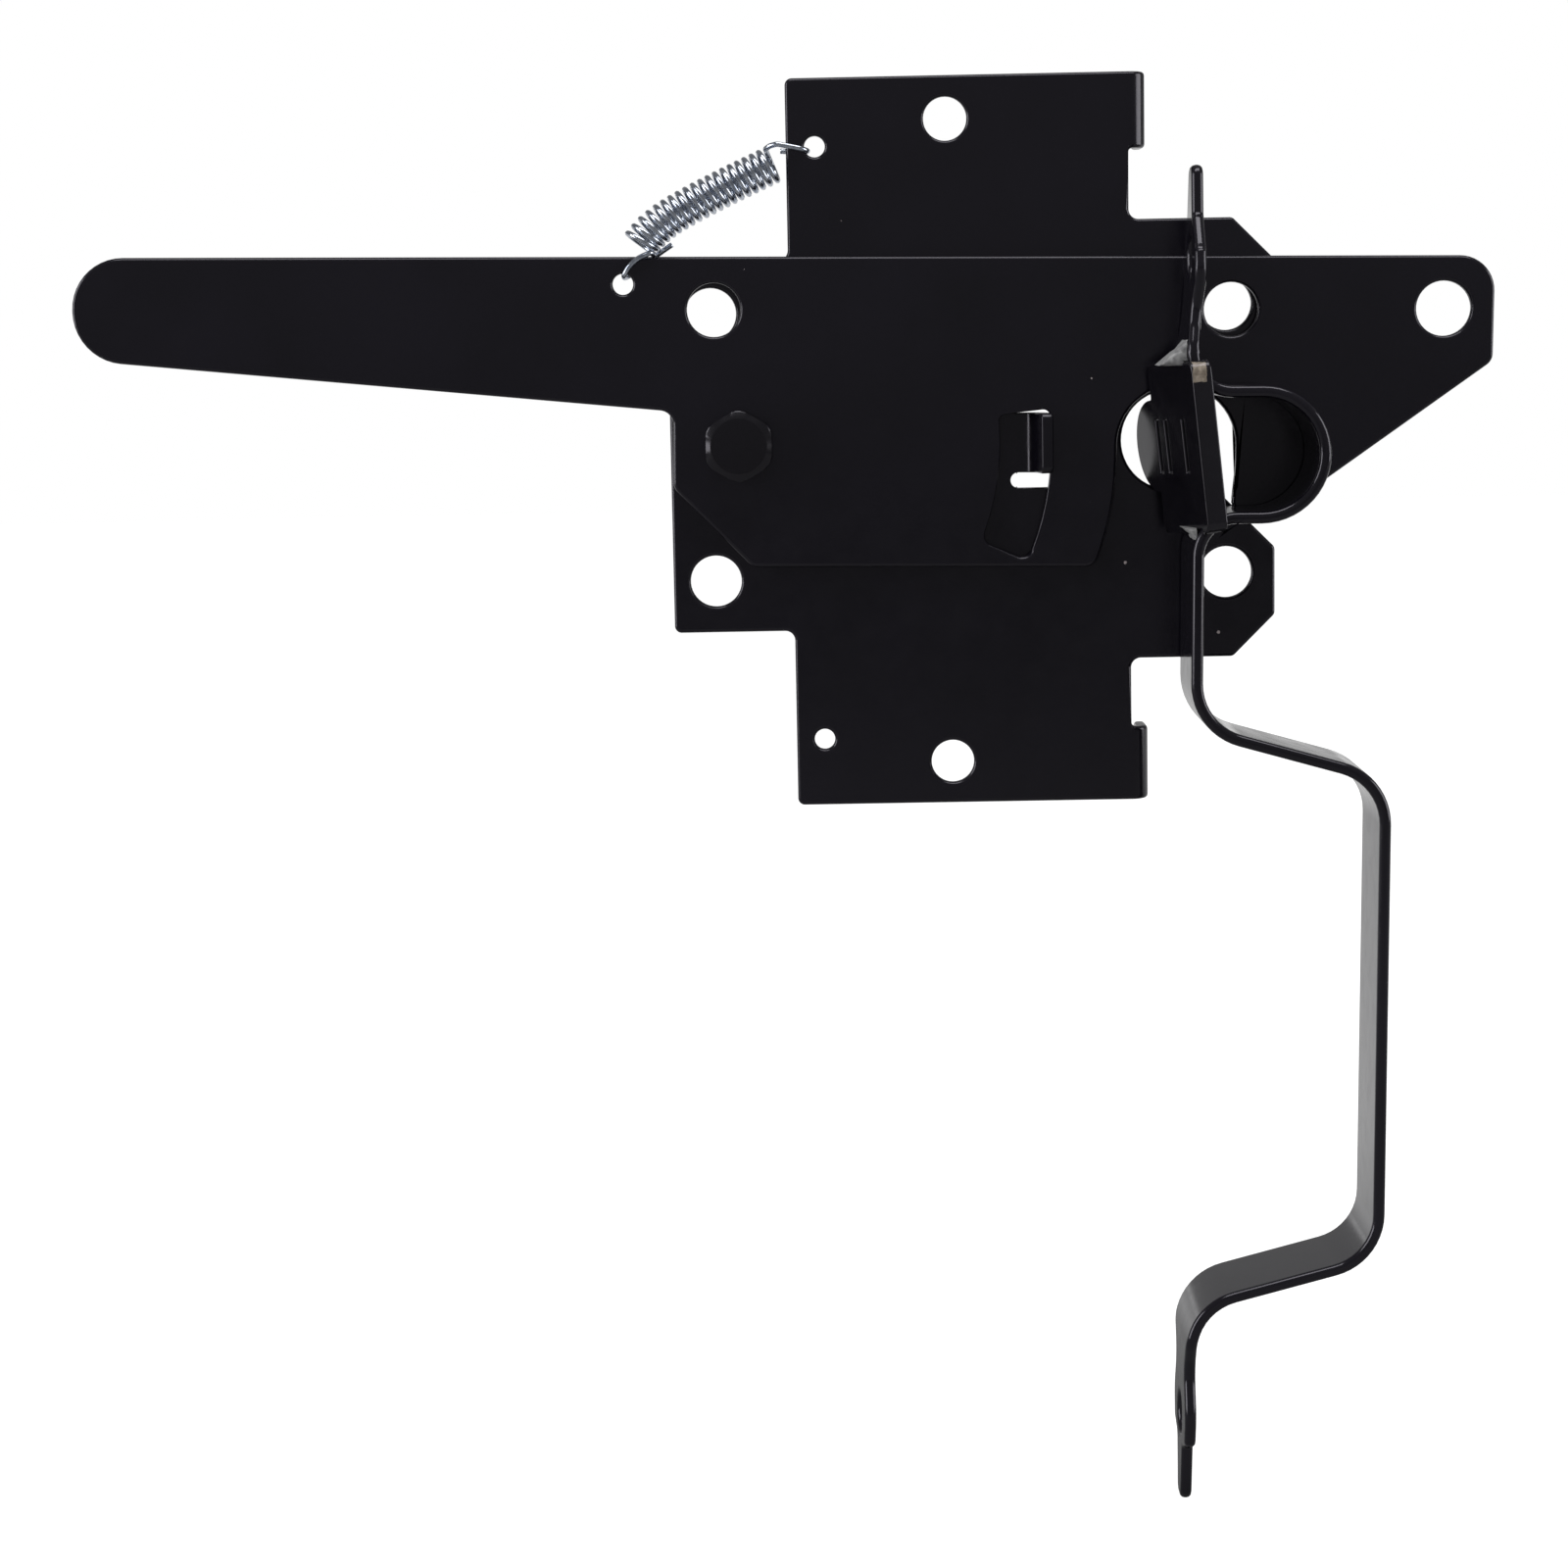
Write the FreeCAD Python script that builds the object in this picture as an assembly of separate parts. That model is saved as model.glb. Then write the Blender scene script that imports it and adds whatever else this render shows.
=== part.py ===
import FreeCAD, Part
import math
import os

# Gate latch: a spring-loaded lever on a folded back plate, with a bent pull handle whose welded
# tongue rests in the lever's notch. All sizes are in millimetres.
# X runs to the right, Y from the viewer to the wall, Z up. The origin is the middle of the four
# main screw holes, on the back plate's rear face.

# Back plate, a folded steel sheet that is the same above and below its centreline
plate_thickness = 2.5
tab_left = -38.2
tab_right = 38.2
tab_top = 77.8
block_left = -64.2
block_top = 39.7
arm_top = 46.9
arm_right = 65.5
arm_chamfer = 9.0
arm_foot = 23.4
plate_corner_radius = 1.5
plate_inner_radius = 2.1
flange_foot = 61.8
flange_depth = 11.0
flange_bend_radius = 3.7
mouth_middle = 43.2
mouth_radius = 10.6
screw_hole_radius = 5.5
screw_hole_x = 55.0
screw_hole_z = 28.6
tab_hole_radius = 4.6
tab_hole_x = -4.35
tab_hole_z = 68.7
spring_hole_radius = 2.2
spring_hole_x = -32.1
spring_hole_z = 63.4

# Guide tab, lanced out of the back plate and bent forward through the lever's curved slot
guide_from_pivot = 62.7
guide_half_height = 6.4
guide_bend_radius = 3.3
guide_forward = 5.3
guide_lean = 10.0
relief_width = 3.3
relief_reach = 1.3

# Pivot stud with its hexagon head, and the washer behind the lever
pivot_x = -49.3
pivot_z = 0.6
head_across_flats = 14.0
head_height = 5.5
head_chamfer = 0.9
shoulder_radius = 4.0
tenon_radius = 3.0
rivet_flare = 1.3
washer_radius = 9.0
washer_thickness = 0.6
turning_clearance = 0.05
side_clearance = 0.1

# Lever, one flat steel sheet, measured from the pivot with its top edge level
lever_thickness = 2.5
lever_rest_tilt = 1.02
lever_travel = 15.0
lever_top = 40.0
lever_bottom = -26.0
lever_left = -142.5
lever_right = 160.4
lever_heel = -14.15
lever_heel_top = 7.24
lever_heel_chamfer = 16.9
lever_corner_radius = 3.0
grip_end_radius = 11.1
grip_underside_rise = 11.16
nose_corner_radius = 7.5
nose_foot = 17.8
hook_bottom = -15.0
hook_width = 9.8
ramp_foot_rise = 45.6
notch_from_pivot = 93.4
notch_radius = 12.7
access_hole_radius = 5.7
access_hole_left = -5.4
access_hole_right = 104.6
access_hole_z = 28.75
cord_hole_radius = 5.8
cord_hole_from_end = 10.7
cord_hole_z = 28.85
lever_spring_hole_x = -24.7
lever_spring_hole_z = 34.2
slot_inner_clearance = 6.9
slot_outer_clearance = 0.35
slot_upper_clearance = 0.25
slot_lower_clearance = 1.25
slot_upper_corner = 1.5
slot_lower_corner = 2.5

# Pull handle, one steel strap bent edge-on to the viewer, in its own leaning frame
handle_x = 46.4
handle_lean = 0.68
strap_thickness = 2.5
strap_width = 24.5
strap_front = -30.5
handle_top = 57.25
handle_bottom = -229.6
throat_shift = 1.3
throat_shift_top = 33.0
throat_shift_foot = 20.0
throat_shift_radius = 25.0
loop_radius = 13.0
loop_reach = 13.1
loop_middle = -2.3
throat_bend_radius = 8.0
grip_offset = 39.6
grip_upper_corner = -70.25
grip_lower_corner = -173.25
leg_slope = 15.4
grip_bend_radius = 12.5
ear_hole_radius = 4.6
ear_hole_from_tip = 19.0
ear_tip_half = 3.3
ear_neck_half = 5.2
ear_neck = 12.5
ear_shoulder_half = 10.8
ear_shoulder = 14.6
ear_widest_half = 12.25
ear_widest = 21.5
ear_waist_half = 8.4
ear_waist = 30.5
ear_length = 37.5

# Strike tongue, a thick plate welded across the mouth of the handle's loop
tongue_thickness = 4.5
tongue_height = 34.2
tongue_x = 48.3
tongue_z = 0.2
tongue_front = -32.6
tongue_body_depth = 24.8
tongue_depth = 35.8
tongue_nose_height = 19.4
tongue_nose_drop = 0.3
tongue_yaw = 16.2
tongue_lean = 6.2
tongue_corner_radius = 2.4
tongue_edge_radius = 0.8
groove_width = 1.6
groove_depth = 0.9
groove_height = 11.0
groove_drop = 0.4
groove_places = (7.4, 17.1, 21.9)

# Weld beads that join the tongue and the strap
upper_weld_foot = 8.2
upper_weld_rise = 6.2
lower_weld_foot = 3.4
lower_weld_rise = 3.2
weld_front_inset = 1.5
weld_length = 11.0
weld_edge_radius = 0.7

# Return spring, an extension spring with an open hook at each end
wire_radius = 0.5
coil_radius = 3.6
coil_pitch = 1.72
coil_sides_per_turn = 12
wire_sides = 8
coil_start_x_from_hole = 4.5
coil_start_z_from_hole = 9.5
coil_end_x_from_hole = -8.3
coil_end_z_from_hole = -3.8
hook_clearance = 0.2
hook_bend_radius = 0.9
hook_tail = 2.6

plate_front = -plate_thickness
washer_front = plate_front - washer_thickness
lever_rear = washer_front - side_clearance
lever_front = lever_rear - lever_thickness
head_seat = lever_front - side_clearance


def rounded_loop(points):
    """Edges through corner points (a, b, radius) in a plane, each corner rounded to its radius."""
    edges = []
    trimmed = []
    count = len(points)
    for i in range(count):
        before = FreeCAD.Vector(*points[i - 1][:2], 0)
        corner = FreeCAD.Vector(*points[i][:2], 0)
        after = FreeCAD.Vector(*points[(i + 1) % count][:2], 0)
        radius = points[i][2]
        back = (before - corner).normalize()
        ahead = (after - corner).normalize()
        half = back.getAngle(ahead) / 2
        reach = radius / math.tan(half)
        bisector = (back + ahead).normalize()
        middle = corner + bisector * (radius / math.sin(half) - radius)
        trimmed.append((corner + back * reach, middle, corner + ahead * reach, radius > 0))
    for i in range(count):
        start, middle, end, is_round = trimmed[i]
        if is_round:
            edges.append(Part.Arc(start, middle, end).toShape())
        following = trimmed[(i + 1) % count][0]
        if end.distanceToPoint(following) > 1e-6:
            edges.append(Part.LineSegment(end, following).toShape())
    return Part.Wire(edges)


def front_sheet(points, rear, thickness):
    """A sheet seen from the front: outline points are (x, z, radius), from rear towards the viewer."""
    face = Part.Face(rounded_loop(points))
    face.rotate(FreeCAD.Vector(), FreeCAD.Vector(1, 0, 0), 90)
    face.translate(FreeCAD.Vector(0, rear, 0))
    return face.extrude(FreeCAD.Vector(0, -thickness, 0))


def hole_through(x, z, radius, rear, thickness):
    """A round cutter along Y that runs past both faces of a sheet."""
    start = FreeCAD.Vector(x, rear + 1, z)
    return Part.makeCylinder(radius, thickness + 2, start, FreeCAD.Vector(0, -1, 0))


def strip_sides(corners, thickness):
    """The closed outline of a strip of even thickness bent along corner points (a, b, middle radius)."""
    left = []
    right = []
    half = thickness / 2
    count = len(corners)
    for i in range(count):
        here = FreeCAD.Vector(*corners[i][:2], 0)
        radius = corners[i][2]
        ahead = None
        back = None
        if i < count - 1:
            ahead = (FreeCAD.Vector(*corners[i + 1][:2], 0) - here).normalize()
        if i > 0:
            back = (here - FreeCAD.Vector(*corners[i - 1][:2], 0)).normalize()
        direction_in = back if back is not None else ahead
        direction_out = ahead if ahead is not None else back
        normal_in = FreeCAD.Vector(-direction_in.y, direction_in.x, 0)
        normal_out = FreeCAD.Vector(-direction_out.y, direction_out.x, 0)
        spread = (normal_in + normal_out).normalize()
        offset = spread * (half / spread.dot(normal_in))
        turn = direction_in.cross(direction_out).z
        left_radius = 0 if radius == 0 else radius - math.copysign(half, turn)
        right_radius = 0 if radius == 0 else radius + math.copysign(half, turn)
        left.append((here.x + offset.x, here.y + offset.y, left_radius))
        right.append((here.x - offset.x, here.y - offset.y, right_radius))
    return left + right[::-1]


def both_halves(upper):
    """An outline that is the same above and below the X axis, from its upper half."""
    return upper + [(x, -z, radius) for x, z, radius in reversed(upper)]


def plate_outline():
    bend_line = tab_right - flange_bend_radius
    flare = arm_foot - mouth_radius
    return both_halves([
        (block_left, block_top, plate_corner_radius),
        (tab_left, block_top, plate_inner_radius),
        (tab_left, tab_top, plate_corner_radius),
        (bend_line, tab_top, 0),
        (bend_line, arm_top, plate_inner_radius),
        (arm_right - arm_chamfer, arm_top, plate_corner_radius),
        (arm_right, arm_top - arm_chamfer, plate_corner_radius),
        (arm_right, arm_foot, plate_corner_radius),
        (arm_right - flare, mouth_radius, plate_corner_radius),
        (mouth_middle - mouth_radius, mouth_radius, mouth_radius),
    ])


def plate_flange(side):
    """The return flange on a tab's right edge, folded back towards the wall."""
    half = plate_thickness / 2
    bend_line = tab_right - flange_bend_radius
    corners = [
        (bend_line, -half, 0),
        (tab_right - half, -half, flange_bend_radius - half),
        (tab_right - half, flange_depth - plate_thickness, 0),
    ]
    face = Part.Face(rounded_loop(strip_sides(corners, plate_thickness)))
    foot = flange_foot if side > 0 else -tab_top
    face.translate(FreeCAD.Vector(0, 0, foot))
    flange = face.extrude(FreeCAD.Vector(0, 0, tab_top - flange_foot))
    free_end = flange_depth - plate_thickness
    ends = [e for e in flange.Edges if e.BoundBox.YMin > free_end - 1e-3 and e.BoundBox.XLength > 1]
    return flange.makeFillet(plate_corner_radius, ends)


def guide_root():
    """Where the guide tab leaves the flat of the plate."""
    return pivot_x + guide_from_pivot - guide_bend_radius


def guide_tab_middle(depth):
    """The distance from the pivot to the middle of the leaning tab's sheet, at a depth along Y."""
    half = plate_thickness / 2
    return guide_from_pivot + half + (plate_front + half - depth) * math.tan(math.radians(guide_lean))


def guide_tab():
    half = plate_thickness / 2
    foot = plate_front + half
    tip = lever_front - guide_forward
    corners = [
        (guide_root() - relief_reach, foot, 0),
        (pivot_x + guide_tab_middle(foot), foot, guide_bend_radius + half),
        (pivot_x + guide_tab_middle(tip), tip, 0),
    ]
    face = Part.Face(rounded_loop(strip_sides(corners, plate_thickness)))
    face.translate(FreeCAD.Vector(0, 0, -guide_half_height))
    tab = face.extrude(FreeCAD.Vector(0, 0, 2 * guide_half_height))
    ends = [e for e in tab.Edges if e.BoundBox.YMax < tip + half and e.BoundBox.XLength > 1]
    return tab.makeFillet(plate_corner_radius, ends)


def guide_window():
    """The gap that the lanced tab leaves, with a relief slot above and below its root."""
    left = guide_root() - relief_reach
    bend_length = (guide_bend_radius + plate_thickness / 2) * math.pi / 2
    straight = guide_forward + lever_thickness + 2 * side_clearance + washer_thickness - guide_bend_radius
    right = guide_root() + bend_length + straight
    top = guide_half_height + relief_width
    end_radius = relief_width / 2
    shape = None
    for side in (1, -1):
        low = guide_half_height if side > 0 else -top
        outline = [
            (left, low, end_radius),
            (left, low + relief_width, end_radius),
            (right, low + relief_width, 0),
            (right, low, 0),
        ]
        slot = front_sheet(outline, 1, plate_thickness + 2)
        shape = slot if shape is None else shape.fuse(slot)
    blank = Part.makeBox(right - guide_root(), plate_thickness + 2, 2 * top,
                         FreeCAD.Vector(guide_root(), plate_front - 1, -top))
    return shape.fuse(blank)


def back_plate():
    plate = front_sheet(plate_outline(), 0, plate_thickness)
    holes = [
        hole_through(x * screw_hole_x, z * screw_hole_z, screw_hole_radius, 0, plate_thickness)
        for x in (1, -1) for z in (1, -1)
    ]
    for z in (1, -1):
        holes.append(hole_through(tab_hole_x, z * tab_hole_z, tab_hole_radius, 0, plate_thickness))
        holes.append(hole_through(spring_hole_x, z * spring_hole_z, spring_hole_radius, 0, plate_thickness))
    plate = plate.cut(holes + [guide_window(), stud_tenon()])
    return plate.fuse([plate_flange(1), plate_flange(-1), guide_tab()]).removeSplitter()


def stud_tenon():
    """The riveted end of the pivot stud, which fills its hole in the plate."""
    axis = FreeCAD.Vector(0, -1, 0)
    foot = FreeCAD.Vector(pivot_x, 0, pivot_z)
    tenon = Part.makeCylinder(tenon_radius, plate_thickness, foot, axis)
    flare = Part.makeCone(tenon_radius + rivet_flare, tenon_radius, rivet_flare, foot, axis)
    return tenon.fuse(flare)


def pivot_stud():
    """A shouldered stud with a hexagon head, riveted flush behind the plate."""
    corner = head_across_flats / math.sqrt(3)
    points = [
        FreeCAD.Vector(pivot_x + corner * math.cos(math.radians(60 * i)), head_seat,
                       pivot_z + corner * math.sin(math.radians(60 * i)))
        for i in range(7)
    ]
    head = Part.Face(Part.makePolygon(points)).extrude(FreeCAD.Vector(0, -head_height, 0))
    flat = head_across_flats / 2
    cone = Part.makeCone(flat + head_height - head_chamfer, flat - head_chamfer, head_height,
                         FreeCAD.Vector(pivot_x, head_seat, pivot_z), FreeCAD.Vector(0, -1, 0))
    head = head.common(cone)
    shoulder = Part.makeCylinder(shoulder_radius, plate_front - head_seat,
                                 FreeCAD.Vector(pivot_x, plate_front, pivot_z),
                                 FreeCAD.Vector(0, -1, 0))
    return head.fuse([shoulder, stud_tenon()]).removeSplitter()


def pivot_washer():
    start = FreeCAD.Vector(pivot_x, plate_front, pivot_z)
    disc = Part.makeCylinder(washer_radius, washer_thickness, start, FreeCAD.Vector(0, -1, 0))
    bore = hole_through(pivot_x, pivot_z, shoulder_radius + turning_clearance, plate_front, washer_thickness)
    return disc.cut(bore)


def lever_outline():
    """The lever's edge, clockwise from its grip end, with the notch open at the bottom."""
    notch_in = notch_from_pivot - notch_radius
    notch_out = notch_from_pivot + notch_radius
    inner_foot = math.sqrt(notch_in ** 2 - lever_bottom ** 2)
    outer_foot = math.sqrt(notch_out ** 2 - hook_bottom ** 2)
    wall_radius = 60.0
    return [
        (lever_left, lever_top, grip_end_radius),
        (lever_right, lever_top, nose_corner_radius),
        (lever_right, nose_foot, lever_corner_radius),
        (lever_right - ramp_foot_rise, hook_bottom, lever_corner_radius),
        (outer_foot, hook_bottom, lever_corner_radius),
        (notch_out, hook_bottom / 2, wall_radius),
        (notch_out, notch_radius, notch_radius),
        (notch_in, notch_radius, notch_radius),
        (notch_in, lever_bottom / 2, wall_radius),
        (inner_foot, lever_bottom, lever_corner_radius),
        (lever_heel + lever_heel_chamfer, lever_bottom, lever_corner_radius),
        (lever_heel, lever_bottom + lever_heel_chamfer, lever_corner_radius),
        (lever_heel, lever_heel_top, lever_corner_radius),
        (lever_left, lever_heel_top + grip_underside_rise, grip_end_radius),
    ]


def lever_slot():
    """The curved slot round the pivot, as wide and long as the guide tab and the travel need."""
    inner = guide_from_pivot - slot_inner_clearance
    tab_half = plate_thickness / 2 / math.cos(math.radians(guide_lean))
    tab_corner = math.hypot(guide_tab_middle(lever_front) + tab_half, guide_half_height + abs(pivot_z))
    outer = tab_corner + slot_outer_clearance
    tab_inner = guide_from_pivot - guide_bend_radius / 2
    above = guide_half_height - pivot_z + slot_upper_clearance
    below = guide_half_height + pivot_z + slot_lower_clearance
    upper = math.degrees(math.atan2(above, tab_inner))
    lower = math.degrees(math.atan2(below, tab_inner))
    start = upper + lever_rest_tilt
    end = lever_rest_tilt - lower - lever_travel
    sector = ring_sector(inner, outer, end, start)
    for angle, corner in ((start, slot_upper_corner), (end, slot_lower_corner)):
        radius = min(corner, (outer - inner) * 0.45)
        sector = sector.makeFillet(radius, corner_edges(sector, angle))
    return sector


def corner_edges(sector, angle):
    """The two edges along Y at one end of a piece of a ring round the pivot."""
    found = []
    for edge in sector.Edges:
        box = edge.BoundBox
        along_y = box.YLength > lever_thickness / 2 and max(box.XLength, box.ZLength) < 1e-3
        if along_y and abs(math.degrees(math.atan2(box.ZMin, box.XMin)) - angle) < 1e-3:
            found.append(edge)
    return found


def ring_sector(inner, outer, low_angle, high_angle):
    """A piece of a ring round the pivot, past both faces of the lever."""
    def place(radius, angle):
        turned = math.radians(angle)
        return FreeCAD.Vector(radius * math.cos(turned), lever_rear + 1, radius * math.sin(turned))
    middle = (low_angle + high_angle) / 2
    edges = [
        Part.Arc(place(outer, low_angle), place(outer, middle), place(outer, high_angle)).toShape(),
        Part.LineSegment(place(outer, high_angle), place(inner, high_angle)).toShape(),
        Part.Arc(place(inner, high_angle), place(inner, middle), place(inner, low_angle)).toShape(),
        Part.LineSegment(place(inner, low_angle), place(outer, low_angle)).toShape(),
    ]
    return Part.Face(Part.Wire(edges)).extrude(FreeCAD.Vector(0, -lever_thickness - 2, 0))


def latch_lever():
    lever = front_sheet(lever_outline(), lever_rear, lever_thickness)
    cutters = [
        hole_through(0, 0, shoulder_radius + turning_clearance, lever_rear, lever_thickness),
        hole_through(access_hole_left, access_hole_z, access_hole_radius, lever_rear, lever_thickness),
        hole_through(access_hole_right, access_hole_z, access_hole_radius, lever_rear, lever_thickness),
        hole_through(lever_right - cord_hole_from_end, cord_hole_z, cord_hole_radius,
                     lever_rear, lever_thickness),
        hole_through(lever_spring_hole_x, lever_spring_hole_z, spring_hole_radius,
                     lever_rear, lever_thickness),
        lever_slot(),
    ]
    lever = lever.cut(cutters)
    lever.rotate(FreeCAD.Vector(), FreeCAD.Vector(0, 1, 0), lever_rest_tilt)
    lever.translate(FreeCAD.Vector(pivot_x, 0, pivot_z))
    return lever


def place_handle(shape):
    """Leans the handle and sets it at its place on the plate's centreline."""
    shape.rotate(FreeCAD.Vector(), FreeCAD.Vector(0, 1, 0), handle_lean)
    shape.translate(FreeCAD.Vector(handle_x, 0, 0))
    return shape


def strap_path():
    """The strap's middle line from the top ear to the bottom ear, as corners with bend radii."""
    slope = math.tan(math.radians(leg_slope))
    loop_top = loop_middle + loop_radius
    loop_bottom = loop_middle - loop_radius
    loop_right = loop_reach + loop_radius
    return [
        (0, handle_top, 0),
        (0, throat_shift_top, throat_shift_radius),
        (-throat_shift, throat_shift_foot, throat_shift_radius),
        (-throat_shift, loop_top, throat_bend_radius),
        (loop_right, loop_top, loop_radius),
        (loop_right, loop_bottom, loop_radius),
        (0, loop_bottom, throat_bend_radius),
        (0, grip_upper_corner + grip_offset * slope, grip_bend_radius),
        (grip_offset, grip_upper_corner, grip_bend_radius),
        (grip_offset, grip_lower_corner, grip_bend_radius),
        (0, grip_lower_corner - grip_offset * slope, grip_bend_radius),
        (0, handle_bottom, 0),
    ]


def ear_edge(tip, towards):
    """One side of a spade-shaped ear, from its tip inwards: (half width, height, radius)."""
    return [
        (ear_tip_half, tip, ear_tip_half * 0.8),
        (ear_neck_half, tip + towards * ear_neck, 1.2),
        (ear_shoulder_half, tip + towards * ear_shoulder, 2.0),
        (ear_widest_half, tip + towards * ear_widest, 9.0),
        (ear_waist_half, tip + towards * ear_waist, 7.0),
        (strap_width / 2, tip + towards * ear_length, 7.0),
    ]


def strap_plan():
    """The strap's width along its height, as a solid to intersect with the bent strip."""
    side = ear_edge(handle_top, -1) + ear_edge(handle_bottom, 1)[::-1]
    outline = side + [(-half, z, radius) for half, z, radius in reversed(side)]
    face = Part.Face(rounded_loop(outline))
    face.rotate(FreeCAD.Vector(), FreeCAD.Vector(1, 0, 0), 90)
    face.rotate(FreeCAD.Vector(), FreeCAD.Vector(0, 0, 1), 90)
    depth = grip_offset + loop_reach + 2 * loop_radius
    face.translate(FreeCAD.Vector(-depth, strap_front + strap_width / 2, 0))
    return face.extrude(FreeCAD.Vector(2 * depth, 0, 0))


def strap_blank():
    """The bent strip at its widest, before its ears are shaped."""
    face = Part.Face(rounded_loop(strip_sides(strap_path(), strap_thickness)))
    face.rotate(FreeCAD.Vector(), FreeCAD.Vector(1, 0, 0), 90)
    spare = ear_widest_half - strap_width / 2
    face.translate(FreeCAD.Vector(0, strap_front + strap_width + spare, 0))
    return face.extrude(FreeCAD.Vector(0, -strap_width - 2 * spare, 0))


def pull_handle():
    strap = strap_blank().common(strap_plan())
    middle = strap_front + strap_width / 2
    for height in (handle_top - ear_hole_from_tip, handle_bottom + ear_hole_from_tip):
        start = FreeCAD.Vector(-strap_thickness * 2, middle, height)
        strap = strap.cut(Part.makeCylinder(ear_hole_radius, strap_thickness * 4, start,
                                            FreeCAD.Vector(1, 0, 0)))
    return place_handle(strap)


def tongue_outline():
    """The tongue's side view: (depth from its front, height, radius)."""
    half = tongue_height / 2
    nose_top = tongue_nose_height / 2 - tongue_nose_drop
    nose_foot_z = -tongue_nose_height / 2 - tongue_nose_drop
    nose_radius = tongue_nose_height / 2 - 0.01
    return [
        (0, half, tongue_corner_radius),
        (tongue_body_depth, half, tongue_corner_radius),
        (tongue_body_depth, nose_top, tongue_edge_radius),
        (tongue_depth, nose_top, nose_radius),
        (tongue_depth, nose_foot_z, nose_radius),
        (tongue_body_depth, nose_foot_z, tongue_edge_radius),
        (tongue_body_depth, -half, tongue_corner_radius),
        (0, -half, tongue_corner_radius),
    ]


def tongue_blank():
    """The tongue before it is coped round the strap, at its place."""
    face = Part.Face(rounded_loop(tongue_outline()))
    face.rotate(FreeCAD.Vector(), FreeCAD.Vector(1, 0, 0), 90)
    face.rotate(FreeCAD.Vector(), FreeCAD.Vector(0, 0, 1), 90)
    face.translate(FreeCAD.Vector(-tongue_thickness / 2, 0, 0))
    tongue = face.extrude(FreeCAD.Vector(tongue_thickness, 0, 0))
    for depth in groove_places:
        corner = FreeCAD.Vector(-tongue_thickness, depth, -groove_height / 2 - groove_drop)
        groove = Part.makeBox(tongue_thickness / 2 + groove_depth, groove_width, groove_height, corner)
        tongue = tongue.cut(groove)
    return place_tongue(tongue)


def place_tongue(shape):
    """Yaws the tongue to the left going back, leans it and sets it on the handle's loop."""
    shape.rotate(FreeCAD.Vector(), FreeCAD.Vector(0, 0, 1), tongue_yaw)
    shape.rotate(FreeCAD.Vector(), FreeCAD.Vector(0, 1, 0), -tongue_lean)
    shape.translate(FreeCAD.Vector(tongue_x, tongue_front, tongue_z))
    return shape


def largest_solid(shape):
    return max(shape.Solids, key=lambda solid: solid.Volume)


def strike_tongue():
    """The tongue, coped so that it seats against the strap's two throat bends."""
    return largest_solid(tongue_blank().cut(pull_handle()))


def weld_bead(corner_x, corner_z, foot, rise):
    """A fillet of weld metal in the corner between the strap's left face and the tongue's edge."""
    points = [
        FreeCAD.Vector(corner_x, 0, corner_z),
        FreeCAD.Vector(corner_x - foot, 0, corner_z),
        FreeCAD.Vector(corner_x - foot * 0.35, 0, corner_z + rise * 0.45),
        FreeCAD.Vector(corner_x, 0, corner_z + rise),
        FreeCAD.Vector(corner_x, 0, corner_z),
    ]
    face = Part.Face(Part.makePolygon(points))
    face.translate(FreeCAD.Vector(0, strap_front + weld_front_inset, 0))
    bead = face.extrude(FreeCAD.Vector(0, weld_length, 0))
    outer = [e for e in bead.Edges if e.BoundBox.YLength < 1e-3 and e.BoundBox.XLength > 1]
    bead = bead.makeFillet(weld_edge_radius, outer)
    return largest_solid(bead.cut(tongue_blank()).cut(pull_handle()))


def upper_weld():
    half = tongue_height / 2
    left_face = handle_x - throat_shift - strap_thickness / 2
    return weld_bead(left_face + 1.2, tongue_z + half - 1.2, upper_weld_foot, upper_weld_rise)


def lower_weld():
    half = tongue_height / 2
    left_face = handle_x - strap_thickness / 2
    return weld_bead(left_face + 0.8, tongue_z - half + 1.0, lower_weld_foot, -lower_weld_rise)


def lever_spring_hole():
    """The middle of the lever's hook hole, with the lever at rest."""
    tilt = math.radians(lever_rest_tilt)
    across = lever_spring_hole_x * math.cos(tilt) + lever_spring_hole_z * math.sin(tilt)
    up = lever_spring_hole_z * math.cos(tilt) - lever_spring_hole_x * math.sin(tilt)
    return FreeCAD.Vector(pivot_x + across, (lever_front + lever_rear) / 2, pivot_z + up)


def wire_tube(points, bend_radius):
    """A round wire along a route of corner points, each bent to the same middle radius."""
    edges = []
    at = points[0]
    for before, corner, after in zip(points, points[1:], points[2:]):
        back = (before - corner).normalize()
        ahead = (after - corner).normalize()
        half = back.getAngle(ahead) / 2
        reach = bend_radius / math.tan(half)
        bisector = (back + ahead).normalize()
        middle = corner + bisector * (bend_radius / math.sin(half) - bend_radius)
        edges.append(Part.LineSegment(at, corner + back * reach).toShape())
        edges.append(Part.Arc(corner + back * reach, middle, corner + ahead * reach).toShape())
        at = corner + ahead * reach
    edges.append(Part.LineSegment(at, points[-1]).toShape())
    path = Part.Wire(edges)
    section = Part.Wire(Part.makeCircle(wire_radius, points[0], points[1] - points[0]))
    return path.makePipeShell([section], True, False)


def spring_hook(coil_end, hole, away, front, rear):
    """The wire from the coil over a sheet's front, through its hole and back a little behind it."""
    seat = spring_hole_radius - wire_radius - hook_clearance
    gap = hook_clearance + wire_radius
    back = FreeCAD.Vector(away.x, 0, away.z).normalize()
    at_seat = hole + back * seat
    behind = FreeCAD.Vector(at_seat.x, rear + gap, at_seat.z)
    route = [
        coil_end,
        FreeCAD.Vector(at_seat.x, front - gap, at_seat.z),
        behind,
        behind + back * hook_tail,
    ]
    return wire_tube(route, hook_bend_radius)


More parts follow.
